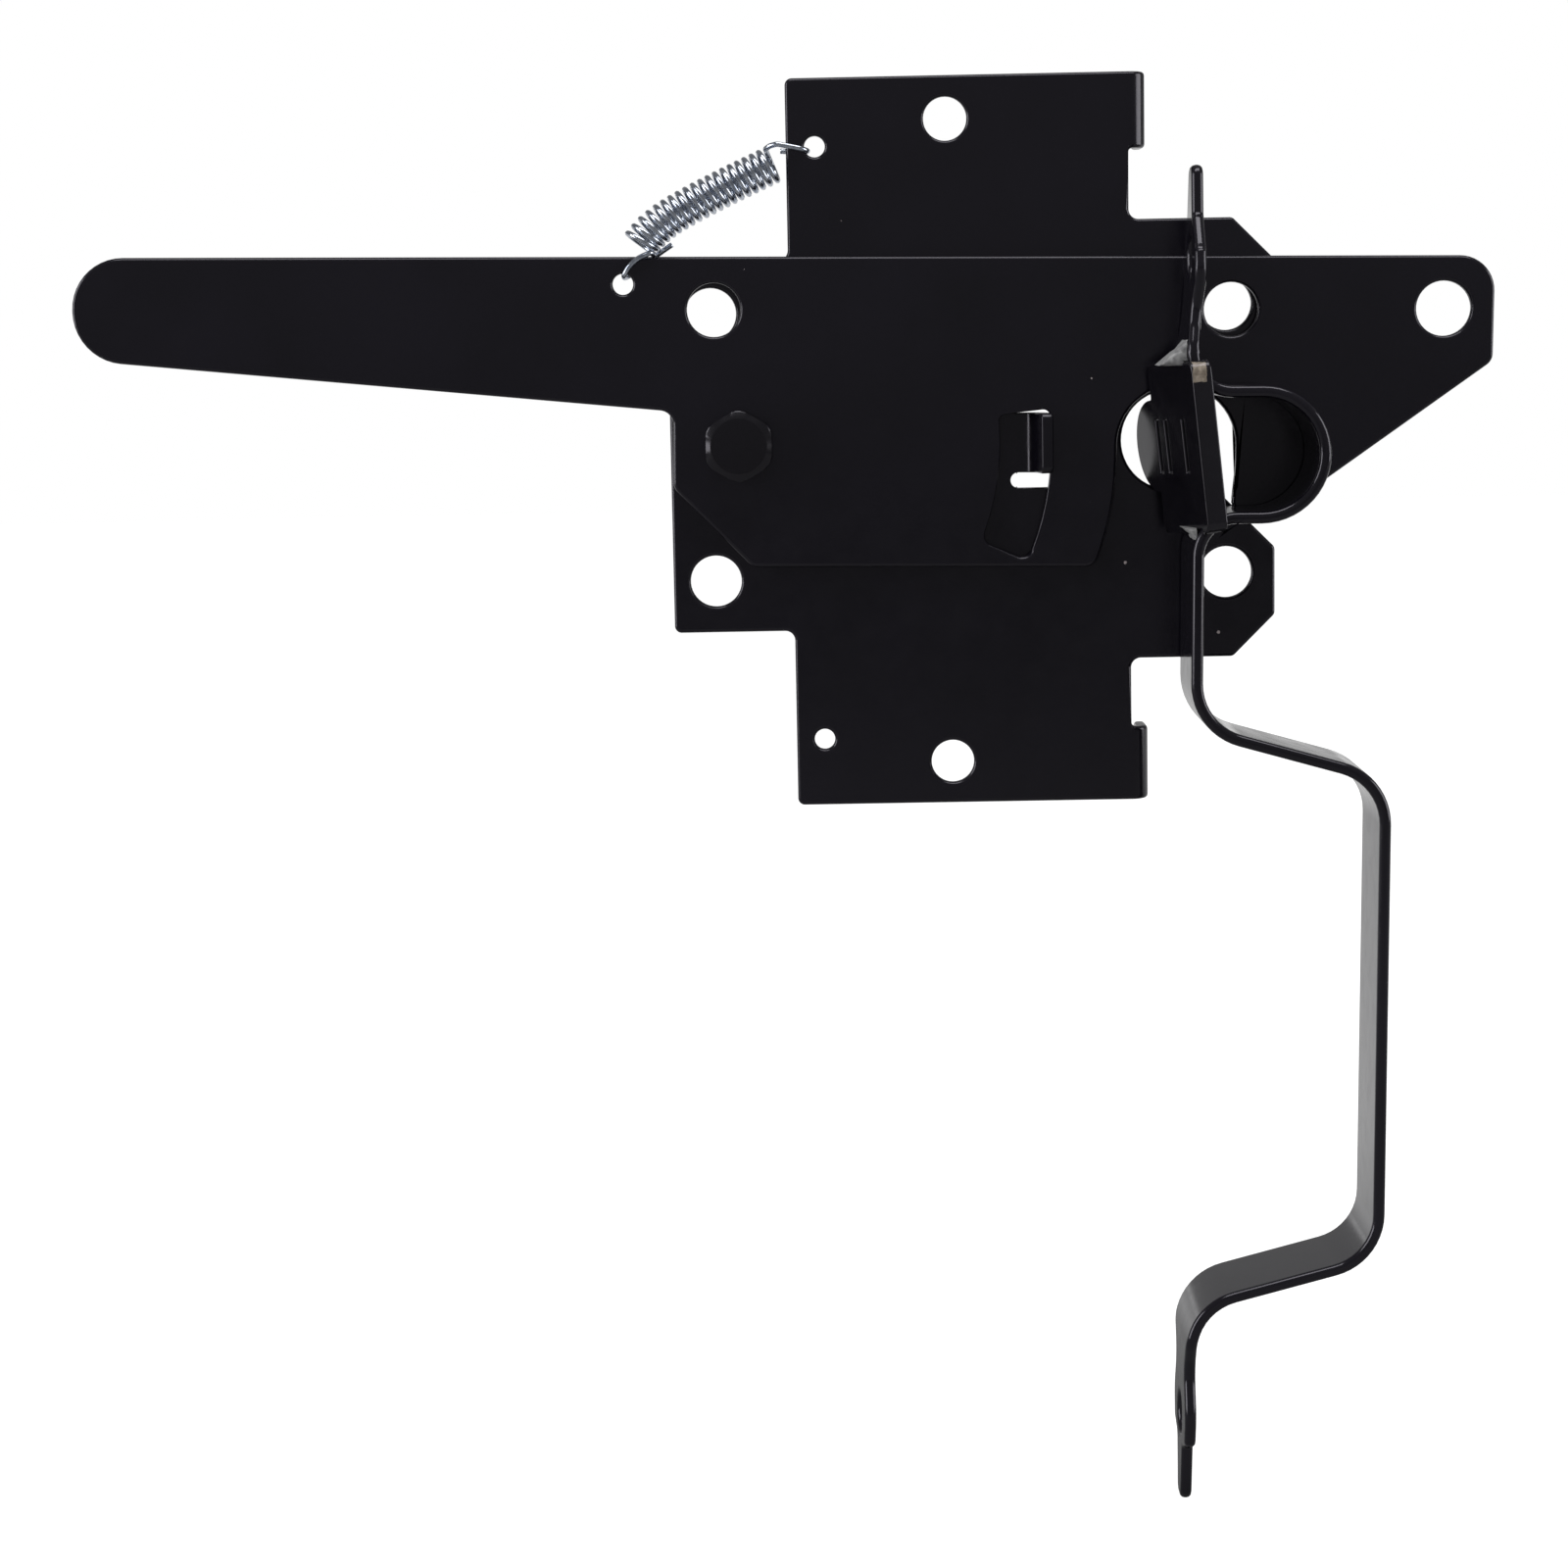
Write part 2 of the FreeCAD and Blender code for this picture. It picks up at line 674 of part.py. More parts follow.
def wire_coil(length, turns):
    """A coil of wire up the Z axis, its turns and its wire many-sided so that its faces stay few."""
    steps = turns * coil_sides_per_turn
    points = []
    for i in range(steps + 1):
        angle = 2 * math.pi * i / coil_sides_per_turn
        points.append(FreeCAD.Vector(coil_radius * math.cos(angle), coil_radius * math.sin(angle),
                                     length * i / steps))
    direction = (points[1] - points[0]).normalize()
    outward = FreeCAD.Vector(direction.y, -direction.x, 0).normalize()
    across = direction.cross(outward)
    section = []
    for i in range(wire_sides + 1):
        angle = 2 * math.pi * i / wire_sides
        section.append(points[0] + outward * (wire_radius * math.cos(angle))
                       + across * (wire_radius * math.sin(angle)))
    return Part.makePolygon(points).makePipeShell([Part.makePolygon(section)], True, False, 1)


def return_spring():
    lever_hole = lever_spring_hole()
    plate_hole = FreeCAD.Vector(spring_hole_x, plate_front / 2, spring_hole_z)
    start = lever_hole + FreeCAD.Vector(coil_start_x_from_hole, 0, coil_start_z_from_hole)
    end = plate_hole + FreeCAD.Vector(coil_end_x_from_hole, 0, coil_end_z_from_hole)
    length = start.distanceToPoint(end)
    along = (end - start).normalize()
    side = along.cross(FreeCAD.Vector(0, -1, 0)).normalize()
    forward = side.cross(along).normalize()
    turns = round(length / coil_pitch)
    coil = wire_coil(length, turns)
    coil.Placement = FreeCAD.Placement(start, FreeCAD.Rotation(forward, side, along, "ZXY"))
    first = start + forward * coil_radius
    last = end + forward * coil_radius
    pieces = [
        spring_hook(first, lever_hole, start - lever_hole, lever_front, lever_rear),
        spring_hook(last, plate_hole, end - plate_hole, plate_front, 0),
        Part.makeSphere(wire_radius, first),
        Part.makeSphere(wire_radius, last),
    ]
    return coil.fuse(pieces)


os.makedirs("parts", exist_ok=True)
nodes = {
    "back_plate": back_plate(),
    "latch_lever": latch_lever(),
    "pivot_stud": pivot_stud(),
    "pivot_washer": pivot_washer(),
    "return_spring": return_spring(),
    "pull_handle": pull_handle(),
    "strike_tongue": strike_tongue(),
    "upper_weld": upper_weld(),
    "lower_weld": lower_weld(),
}
for name, shape in nodes.items():
    shape.exportStep("parts/" + name + ".step")
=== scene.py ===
import math

import bmesh
import bpy
import numpy as np
from mathutils import Matrix, Vector, noise


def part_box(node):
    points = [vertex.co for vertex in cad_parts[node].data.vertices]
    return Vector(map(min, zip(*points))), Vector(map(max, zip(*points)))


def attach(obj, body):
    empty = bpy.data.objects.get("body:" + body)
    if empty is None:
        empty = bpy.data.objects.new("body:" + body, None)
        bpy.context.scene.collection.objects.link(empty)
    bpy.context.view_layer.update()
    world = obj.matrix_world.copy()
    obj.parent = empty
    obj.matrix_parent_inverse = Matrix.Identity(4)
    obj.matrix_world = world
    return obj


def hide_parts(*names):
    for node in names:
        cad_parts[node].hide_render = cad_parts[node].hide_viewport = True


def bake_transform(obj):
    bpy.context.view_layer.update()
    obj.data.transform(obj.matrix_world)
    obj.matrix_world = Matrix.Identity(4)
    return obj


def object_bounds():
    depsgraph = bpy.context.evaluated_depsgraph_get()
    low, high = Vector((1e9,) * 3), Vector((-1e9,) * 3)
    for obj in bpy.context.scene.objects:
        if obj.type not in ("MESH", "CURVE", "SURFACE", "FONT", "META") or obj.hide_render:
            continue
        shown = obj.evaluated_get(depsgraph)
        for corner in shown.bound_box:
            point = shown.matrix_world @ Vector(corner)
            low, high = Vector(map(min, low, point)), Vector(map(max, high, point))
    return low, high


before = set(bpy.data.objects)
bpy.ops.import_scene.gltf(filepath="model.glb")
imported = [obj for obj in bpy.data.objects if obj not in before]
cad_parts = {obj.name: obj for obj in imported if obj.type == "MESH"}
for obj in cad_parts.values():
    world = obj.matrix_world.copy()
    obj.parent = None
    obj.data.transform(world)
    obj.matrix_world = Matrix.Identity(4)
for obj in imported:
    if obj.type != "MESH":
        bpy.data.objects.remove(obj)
cad_low, cad_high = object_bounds()
mm = 0.001

# ---------------------------------------------------------------------------
# The photographer's camera: a long lens a little above and to the left of the latch's middle,
# tipped down by about eight degrees.
camera_data = bpy.data.cameras.new("camera")
camera_data.sensor_width = 36.0
camera_data.lens = 77.507
camera = bpy.data.objects.new("camera", camera_data)
camera.location = (-0.02872, -0.73099, 0.02591)
camera.rotation_euler = [math.radians(a) for a in (82.2647, 1.1246, 0.8302)]
bpy.context.scene.collection.objects.link(camera)
bpy.context.scene.camera = camera
bpy.context.scene.view_settings.view_transform = "Standard"

# ---------------------------------------------------------------------------
# The studio: a white sweep behind, which grazing faces mirror, a dim room in front, which keeps
# the flat faces black, and soft boxes left, right and overhead that draw a line along each edge.


def node_link(tree, source, target):
    tree.links.new(source, target)


def new_node(tree, kind, **settings):
    """A shader node with its properties and, by socket name, its input values."""
    node = tree.nodes.new(kind)
    for key, value in settings.items():
        if hasattr(node, key):
            setattr(node, key, value)
        else:
            node.inputs[key.replace("_", " ")].default_value = value
    return node


world = bpy.data.worlds.new("studio")
bpy.context.scene.world = world
world.use_nodes = True
sky = world.node_tree
sky.nodes.clear()
direction = new_node(sky, "ShaderNodeTexCoord")
split = new_node(sky, "ShaderNodeSeparateXYZ")
node_link(sky, direction.outputs["Generated"], split.inputs["Vector"])
depth = new_node(sky, "ShaderNodeMapRange", interpolation_type="SMOOTHSTEP")
depth.inputs["From Min"].default_value = 0.45
depth.inputs["From Max"].default_value = 0.96
depth.inputs["To Min"].default_value = 0.21
depth.inputs["To Max"].default_value = 1.0
node_link(sky, split.outputs["Y"], depth.inputs["Value"])
height = new_node(sky, "ShaderNodeMapRange", interpolation_type="SMOOTHSTEP")
height.inputs["From Min"].default_value = 0.012
height.inputs["From Max"].default_value = 0.06
height.inputs["To Min"].default_value = 1.0
height.inputs["To Max"].default_value = 0.35
node_link(sky, split.outputs["Z"], height.inputs["Value"])
sweep = new_node(sky, "ShaderNodeMath", operation="MULTIPLY")
node_link(sky, depth.outputs["Result"], sweep.inputs[0])
node_link(sky, height.outputs["Result"], sweep.inputs[1])
dim = new_node(sky, "ShaderNodeMath", operation="MAXIMUM")
dim.inputs[1].default_value = 0.21
node_link(sky, sweep.outputs["Value"], dim.inputs[0])
rays = new_node(sky, "ShaderNodeLightPath")
seen = new_node(sky, "ShaderNodeMath", operation="MAXIMUM")
node_link(sky, rays.outputs["Is Camera Ray"], seen.inputs[0])
node_link(sky, rays.outputs["Is Transmission Ray"], seen.inputs[1])
level = new_node(sky, "ShaderNodeMath", operation="MAXIMUM")
node_link(sky, seen.outputs["Value"], level.inputs[0])
node_link(sky, dim.outputs["Value"], level.inputs[1])
white = new_node(sky, "ShaderNodeBackground", Color=(1.0, 1.0, 1.0, 1.0))
node_link(sky, level.outputs["Value"], white.inputs["Strength"])
sky_out = new_node(sky, "ShaderNodeOutputWorld")
node_link(sky, white.outputs["Background"], sky_out.inputs["Surface"])

for name, place, width, height, power in (
    ("box_left", (-1.6, -0.45, 0.1), 0.9, 1.6, 21.0),
    ("box_right", (1.7, -0.30, 0.1), 1.1, 1.6, 20.0),
    ("box_overhead", (0.1, -0.45, 1.7), 1.8, 0.8, 20.0),
):
    lamp_data = bpy.data.lights.new(name, "AREA")
    lamp_data.shape = "RECTANGLE"
    lamp_data.size = width
    lamp_data.size_y = height
    lamp_data.energy = power
    lamp = bpy.data.objects.new(name, lamp_data)
    lamp.location = place
    lamp.rotation_euler = Vector(place).to_track_quat("Z", "Y").to_euler()
    bpy.context.scene.collection.objects.link(lamp)

floor_mesh = bmesh.new()
bmesh.ops.create_grid(floor_mesh, x_segments=2, y_segments=2, size=4.0)
bmesh.ops.translate(floor_mesh, verts=floor_mesh.verts[:], vec=(0, 0, cad_low.z - 0.4 * mm))
floor_data = bpy.data.meshes.new("floor")
floor_mesh.to_mesh(floor_data)
floor_mesh.free()
floor = bpy.data.objects.new("floor", floor_data)
bpy.context.scene.collection.objects.link(floor)
floor_paint = bpy.data.materials.new("floor_white")
floor_paint.use_nodes = True
tree = floor_paint.node_tree
shader = tree.nodes["Principled BSDF"]
shader.inputs["Base Color"].default_value = (0.3, 0.3, 0.3, 1.0)
shader.inputs["Roughness"].default_value = 0.8
shader.inputs["Specular IOR Level"].default_value = 0.0
shader.inputs["Emission Color"].default_value = (1.0, 1.0, 1.0, 1.0)
rays = new_node(tree, "ShaderNodeLightPath")
spot = new_node(tree, "ShaderNodeSeparateXYZ")
node_link(tree, new_node(tree, "ShaderNodeTexCoord").outputs["Object"], spot.inputs["Vector"])
behind = new_node(tree, "ShaderNodeMapRange", interpolation_type="SMOOTHSTEP")
behind.inputs["From Min"].default_value = 0.03
behind.inputs["From Max"].default_value = 0.35
behind.inputs["To Max"].default_value = 0.5
node_link(tree, spot.outputs["Y"], behind.inputs["Value"])
mirrored = new_node(tree, "ShaderNodeMath", operation="MULTIPLY")
node_link(tree, rays.outputs["Is Glossy Ray"], mirrored.inputs[0])
node_link(tree, behind.outputs["Result"], mirrored.inputs[1])
lift = new_node(tree, "ShaderNodeMath", operation="MULTIPLY_ADD")
lift.inputs[1].default_value = 0.97
node_link(tree, rays.outputs["Is Camera Ray"], lift.inputs[0])
node_link(tree, mirrored.outputs["Value"], lift.inputs[2])
node_link(tree, lift.outputs["Value"], shader.inputs["Emission Strength"])
floor_data.materials.append(floor_paint)

# ---------------------------------------------------------------------------
# Back plate: 2.5 mm sheet steel, blanked and folded, with softly rounded edges under a satin
# black powder coat. The coat has a fine orange peel and a few specks of dust.


def satin_black(name, tint=(0.0044, 0.0038, 0.0066), gloss=0.19, dust=0.5):
    """Powder coat: near black, slightly uneven in colour and gloss, with a fine orange peel."""
    coat = bpy.data.materials.new(name)
    coat.use_nodes = True
    tree = coat.node_tree
    shader = tree.nodes["Principled BSDF"]
    shader.inputs["IOR"].default_value = 1.5
    shader.inputs["Specular Tint"].default_value = (0.93, 0.90, 1.0, 1.0)
    place = new_node(tree, "ShaderNodeTexCoord").outputs["Object"]

    cloud = new_node(tree, "ShaderNodeTexNoise", Scale=45.0, Detail=3.0)
    node_link(tree, place, cloud.inputs["Vector"])
    shade = new_node(tree, "ShaderNodeValToRGB")
    dark, pale = [c * 0.82 for c in tint], [c * 1.22 for c in tint]
    shade.color_ramp.elements[0].position = 0.3
    shade.color_ramp.elements[0].color = (*dark, 1.0)
    shade.color_ramp.elements[1].position = 0.7
    shade.color_ramp.elements[1].color = (*pale, 1.0)
    node_link(tree, cloud.outputs["Fac"], shade.inputs["Fac"])

    speck = new_node(tree, "ShaderNodeTexVoronoi", Scale=150.0, Randomness=1.0)
    node_link(tree, place, speck.inputs["Vector"])
    rare = new_node(tree, "ShaderNodeSeparateColor")
    node_link(tree, speck.outputs["Color"], rare.inputs["Color"])
    chosen = new_node(tree, "ShaderNodeMapRange")
    chosen.inputs["From Min"].default_value = 1.0 - dust * 0.2
    chosen.inputs["From Max"].default_value = 1.0
    chosen.inputs["To Max"].default_value = 0.06
    node_link(tree, rare.outputs["Red"], chosen.inputs["Value"])
    dot = new_node(tree, "ShaderNodeMath", operation="LESS_THAN")
    node_link(tree, speck.outputs["Distance"], dot.inputs[0])
    node_link(tree, chosen.outputs["Result"], dot.inputs[1])
    dusty = new_node(tree, "ShaderNodeMix", data_type="RGBA")
    node_link(tree, dot.outputs["Value"], dusty.inputs["Factor"])
    node_link(tree, shade.outputs["Color"], dusty.inputs[6])
    dusty.inputs[7].default_value = (0.50, 0.44, 0.44, 1.0)
    node_link(tree, dusty.outputs[2], shader.inputs["Base Color"])

    smear = new_node(tree, "ShaderNodeTexNoise", Scale=220.0, Detail=2.0)
    node_link(tree, place, smear.inputs["Vector"])
    rough = new_node(tree, "ShaderNodeMapRange")
    rough.inputs["From Min"].default_value = 0.3
    rough.inputs["From Max"].default_value = 0.7
    rough.inputs["To Min"].default_value = gloss - 0.03
    rough.inputs["To Max"].default_value = gloss + 0.04
    node_link(tree, smear.outputs["Fac"], rough.inputs["Value"])
    node_link(tree, rough.outputs["Result"], shader.inputs["Roughness"])

    peel = new_node(tree, "ShaderNodeTexNoise", Scale=1100.0, Detail=2.0)
    node_link(tree, place, peel.inputs["Vector"])
    bump = new_node(tree, "ShaderNodeBump", Strength=0.12, Distance=0.00006)
    node_link(tree, peel.outputs["Fac"], bump.inputs["Height"])
    node_link(tree, bump.outputs["Normal"], shader.inputs["Normal"])
    return coat


def finished_piece(name, form, material, body, node):
    """Keeps a bmesh as a piece that stands for a CAD node, shaded smooth with flat faces flat."""
    data = bpy.data.meshes.new(name)
    form.to_mesh(data)
    form.free()
    data.materials.append(material)
    data.shade_smooth()
    data.set_sharp_from_angle(angle=math.radians(38))
    piece = bpy.data.objects.new(name, data)
    bpy.context.scene.collection.objects.link(piece)
    even = piece.modifiers.new("even_shading", "WEIGHTED_NORMAL")
    even.keep_sharp = True
    even.weight = 50
    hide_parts(node)
    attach(piece, body)
    return piece


def softened(node, edge_radius, steps=3, corner=24.0, reshape=None, fine=None):
    """A copy of a CAD node's mesh with its loose triangles merged and its sharp edges rounded.

    reshape(form) works on the merged copy before its edges are rounded, and the edges that
    fine(edge) picks are only broken."""
    form = bmesh.new()
    form.from_mesh(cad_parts[node].data)
    bmesh.ops.remove_doubles(form, verts=form.verts[:], dist=1e-6)
    bmesh.ops.dissolve_limit(form, angle_limit=math.radians(0.4), verts=form.verts[:], edges=form.edges[:])
    if reshape:
        reshape(form)
    sharp = [e for e in form.edges if e.is_manifold and e.calc_face_angle() > math.radians(corner)]
    if fine:
        close = [e for e in sharp if fine(e)]
        bmesh.ops.bevel(form, geom=close, offset=0.3 * mm, offset_type="OFFSET", affect="EDGES",
                        segments=2, profile=0.5, clamp_overlap=False, material=-1)
        sharp = [e for e in form.edges if e.is_manifold and not fine(e)
                 and e.calc_face_angle() > math.radians(corner)]
    bmesh.ops.bevel(form, geom=sharp, offset=edge_radius, offset_type="OFFSET", affect="EDGES",
                    segments=steps, profile=0.5, clamp_overlap=False, material=-1)
    bmesh.ops.remove_doubles(form, verts=form.verts[:], dist=2e-6)
    return form


sheet_edge = 0.8 * mm


def beside_the_guide(edge):
    """The edges of the guide tab, its window and the lever's slot, which pass close together."""
    return all(0 < v.co.x < 24 * mm and -23 * mm < v.co.z < 11 * mm for v in edge.verts)


plate_coat = satin_black("plate_powder_coat")
back_plate = finished_piece("steel_back_plate", softened("back_plate", sheet_edge, fine=beside_the_guide), plate_coat,
                            "mounting", "back_plate")

# ---------------------------------------------------------------------------
# Lever: one flat blank of the same sheet, coated apart from the plate, so its cloudiness differs.
# It turns on the stud and carries the thumb grip, the notch and the hook end.
lever_coat = satin_black("lever_powder_coat", tint=(0.0046, 0.0040, 0.0070), dust=0.9)
lever = finished_piece("steel_lever", softened("latch_lever", sheet_edge, fine=beside_the_guide), lever_coat,
                       "lever", "latch_lever")

# ---------------------------------------------------------------------------
# Pivot: a turned stud with a hexagon head and a thin washer, blackened and a little glossier
# than the sheet. Its foot is riveted flush behind the plate.
stud_finish = satin_black("stud_blacking", tint=(0.0034, 0.0030, 0.0044), gloss=0.17, dust=0.2)
stud_low, stud_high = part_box("pivot_stud")
stud_middle = (stud_low + stud_high) / 2
head_half = 7.0 * mm
head_seat = stud_low.y + 5.5 * mm
stud_sides = 96
stud_rings = [  # depth and largest radius, from the head's face to the riveted foot
    (stud_low.y, 5.8 * mm), (stud_low.y + 0.04 * mm, 5.95 * mm), (stud_low.y + 0.12 * mm, 6.1 * mm),
    (stud_low.y + 0.65 * mm, 7.3 * mm), (stud_low.y + 0.85 * mm, 7.5 * mm),
    (head_seat - 0.4 * mm, 7.5 * mm), (head_seat, 7.1 * mm), (head_seat, 4.0 * mm),
    (-2.5 * mm, 4.0 * mm), (-2.5 * mm, 3.0 * mm), (-1.3 * mm, 3.0 * mm), (0, 4.3 * mm)]


def hexagon_ring(verts, depth, limit):
    """Sets a ring of vertices on a hexagon whose corners are turned down to a radius."""
    for k, vert in enumerate(verts):
        angle = 2 * math.pi * k / stud_sides
        off_flat = (angle + math.pi / 6) % (math.pi / 3) - math.pi / 6
        radius = min(limit, head_half / math.cos(off_flat))
        vert.co = (stud_middle.x + radius * math.cos(angle), depth,
                   stud_middle.z + radius * math.sin(angle))


stud_form = bmesh.new()
ring = bmesh.ops.create_circle(stud_form, cap_ends=True, segments=stud_sides, radius=1.0)["verts"]
hexagon_ring(ring, *stud_rings[0])
for depth, limit in stud_rings[1:]:
    rim = [e for e in stud_form.edges if e.verts[0] in ring and e.verts[1] in ring]
    grown = bmesh.ops.extrude_edge_only(stud_form, edges=rim)["geom"]
    fresh = {g for g in grown if isinstance(g, bmesh.types.BMVert)}
    ring = [next(o for e in v.link_edges for o in [e.other_vert(v)] if o in fresh) for v in ring]
    hexagon_ring(ring, depth, limit)
bmesh.ops.contextual_create(
    stud_form, geom=[e for e in stud_form.edges if e.verts[0] in ring and e.verts[1] in ring])
bmesh.ops.recalc_face_normals(stud_form, faces=stud_form.faces[:])
stud = finished_piece("hexagon_stud", stud_form, stud_finish, "mounting", "pivot_stud")
washer = finished_piece("thin_washer", softened("pivot_washer", 0.12 * mm, steps=2), stud_finish,
                        "mounting", "pivot_washer")

# ---------------------------------------------------------------------------
# Return spring: bright zinc-plated wire close-wound into a coil that droops at the lever, with an
# open hook at each end that goes through its hole and lies back behind the sheet.
wire_radius = 0.58 * mm
coil_radius = 3.55 * mm
steps_per_turn = 24
coil_axis = [  # turn number, middle of the coil in mm, and the axis's slope there in degrees
    (-0.6, (-69.75, -4.45, 43.25), 58.0),
    (0.25, (-68.94, -4.40, 44.30), 55.0),
    (1.25, (-67.75, -4.23, 45.58), 50.0),
    (2.25, (-66.45, -4.07, 46.83), 45.0),
    (4.25, (-63.60, -3.73, 48.90), 37.5),
    (6.25, (-60.64, -3.40, 50.60), 34.5),
    (9.25, (-55.95, -2.90, 53.01), 31.8),
    (13.25, (-49.80, -2.25, 55.95), 29.0),
    (18.25, (-42.03, -1.40, 59.47), 27.0),
    (19.05, (-40.80, -1.30, 60.05), 26.5),
]


def frames_along(points):
    """A matrix at each point of a wire's route, its Z axis along the wire and turning least."""
    frames = []
    normal = Vector((0, 1, 0))
    for i, point in enumerate(points):
        ahead = (points[min(i + 1, len(points) - 1)] - points[max(i - 1, 0)]).normalized()
        normal = (normal - ahead * normal.dot(ahead)).normalized()
        across = ahead.cross(normal)
        turn = Matrix((normal, across, ahead)).transposed().to_4x4()
        frames.append(Matrix.Translation(point) @ turn)
    return frames


def drawn_wire(points, radius, sides=10):
    """A round wire drawn along a route: a ring is extruded from each point to the next."""
    form = bmesh.new()
    frames = frames_along(points)
    ring = bmesh.ops.create_circle(form, cap_ends=True, segments=sides, radius=radius)["verts"]
    bmesh.ops.transform(form, matrix=frames[0], verts=ring)
    edges = list({e for v in ring for e in v.link_edges})
    for before, after in zip(frames, frames[1:]):
        step = bmesh.ops.extrude_edge_only(form, edges=edges)["geom"]
        verts = [g for g in step if isinstance(g, bmesh.types.BMVert)]
        edges = [g for g in step if isinstance(g, bmesh.types.BMEdge)]
        bmesh.ops.transform(form, matrix=after @ before.inverted(), verts=verts)
    bmesh.ops.contextual_create(form, geom=edges)
    bmesh.ops.recalc_face_normals(form, faces=form.faces[:])
    return form


def smooth_route(points, steps):
    """Points on a smooth curve through the given points."""
    route = []
    for i in range(len(points) - 1):
        a, b = points[max(i - 1, 0)], points[i]
        c, d = points[i + 1], points[min(i + 2, len(points) - 1)]
        for k in range(steps):
            t = k / steps
            route.append(0.5 * (2 * b + (c - a) * t + (2 * a - 5 * b + 4 * c - d) * t * t
                                + (3 * b - 3 * c + d - a) * t ** 3))
    return route + [points[-1]]


coil = []
for (turn, middle, slope), (next_turn, next_middle, next_slope) in zip(coil_axis, coil_axis[1:]):
    count = round((next_turn - turn) * steps_per_turn)
    for i in range(count):
        part = i / count
        angle = 2 * math.pi * (turn + (next_turn - turn) * part)
        tilt = math.radians(slope + (next_slope - slope) * part)
        upward = Vector((-math.sin(tilt), 0, math.cos(tilt)))
        centre = Vector(middle).lerp(Vector(next_middle), part) * mm
        coil.append(centre + upward * (math.cos(angle) * coil_radius)
                    - Vector((0, math.sin(angle) * coil_radius, 0)))
lever_hook = [Vector(p) * mm for p in (
    (-62.8, -2.35, 43.45), (-65.6, -2.3, 41.6), (-69.3, -2.3, 38.9), (-71.7, -2.4, 37.3),
    (-72.8, -3.1, 36.7), (-73.05, -4.6, 36.7), (-72.9, -5.9, 37.3), (-71.7, -6.5, 39.1),
    (-69.9, -6.6, 40.6), (-67.9, -6.6, 41.5))]
plate_hook = [Vector(p) * mm for p in (
    (-41.6, -2.6, 63.7), (-40.1, -3.4, 64.0), (-38.8, -3.5, 63.8), (-37.3, -3.4, 63.5),
    (-35.4, -3.2, 63.1), (-34.1, -2.4, 62.75), (-33.6, -1.1, 62.55), (-34.2, 0.4, 62.4),
    (-36.0, 0.9, 62.5), (-39.4, 0.9, 62.75))]
route = smooth_route(lever_hook, 5) + coil + smooth_route(plate_hook, 5)

zinc = bpy.data.materials.new("bright_zinc_wire")
zinc.use_nodes = True
tree = zinc.node_tree
shader = tree.nodes["Principled BSDF"]
shader.inputs["Metallic"].default_value = 1.0
place = new_node(tree, "ShaderNodeTexCoord").outputs["Object"]
bloom = new_node(tree, "ShaderNodeTexNoise", Scale=700.0, Detail=3.0)
node_link(tree, place, bloom.inputs["Vector"])
plating = new_node(tree, "ShaderNodeValToRGB")
plating.color_ramp.elements[0].position = 0.35
plating.color_ramp.elements[0].color = (0.36, 0.40, 0.48, 1.0)
plating.color_ramp.elements[1].position = 0.65
plating.color_ramp.elements[1].color = (0.66, 0.70, 0.77, 1.0)
node_link(tree, bloom.outputs["Fac"], plating.inputs["Fac"])
node_link(tree, plating.outputs["Color"], shader.inputs["Base Color"])
haze = new_node(tree, "ShaderNodeMapRange")
haze.inputs["To Min"].default_value = 0.08
haze.inputs["To Max"].default_value = 0.22
node_link(tree, bloom.outputs["Fac"], haze.inputs["Value"])
node_link(tree, haze.outputs["Result"], shader.inputs["Roughness"])
scratch = new_node(tree, "ShaderNodeBump", Strength=0.2, Distance=0.00003)
node_link(tree, bloom.outputs["Fac"], scratch.inputs["Height"])
node_link(tree, scratch.outputs["Normal"], shader.inputs["Normal"])

form = drawn_wire(route, wire_radius)
spring_data = bpy.data.meshes.new("coiled_spring")
form.to_mesh(spring_data)
form.free()
spring_data.materials.append(zinc)
spring_data.shade_smooth()
spring = bpy.data.objects.new("coiled_spring", spring_data)
bpy.context.scene.collection.objects.link(spring)
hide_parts("return_spring")
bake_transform(spring)

# ---------------------------------------------------------------------------
# Pull handle: one strap of flat bar, bent cold on edge round the tongue's loop and the grip, with
# a pierced spade-shaped ear at each end. Its coat is a touch smoother than the plate's.
handle_coat = satin_black("handle_powder_coat", tint=(0.0048, 0.0042, 0.0070), gloss=0.14, dust=0.4)
handle_low, handle_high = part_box("pull_handle")
strap_middle = (handle_low.y + handle_high.y) / 2
ear_drawn = (0, 10.5, 12.5, 14.6, 21.5)  # mm from the upper tip: the ear's corners in the CAD model
ear_eased = (0, 8.5, 10.2, 17.2, 21.5)  # and where they lie on the forged ear, whose shoulder flows


def ease_upper_ear(form):
    """Stretches the step at the upper ear's shoulder into a slope; the lower ear keeps its step."""
    for vert in form.verts:
        inside = (handle_high.z - vert.co.z) / mm
        if 0 < inside < ear_drawn[-1] and abs(vert.co.y - strap_middle) > 4.9 * mm:
            vert.co.z = handle_high.z - np.interp(inside, ear_drawn, ear_eased) * mm


handle = finished_piece("bent_strap_handle", softened("pull_handle", 1.05 * mm, reshape=ease_upper_ear),
                        handle_coat, "mounting", "pull_handle")

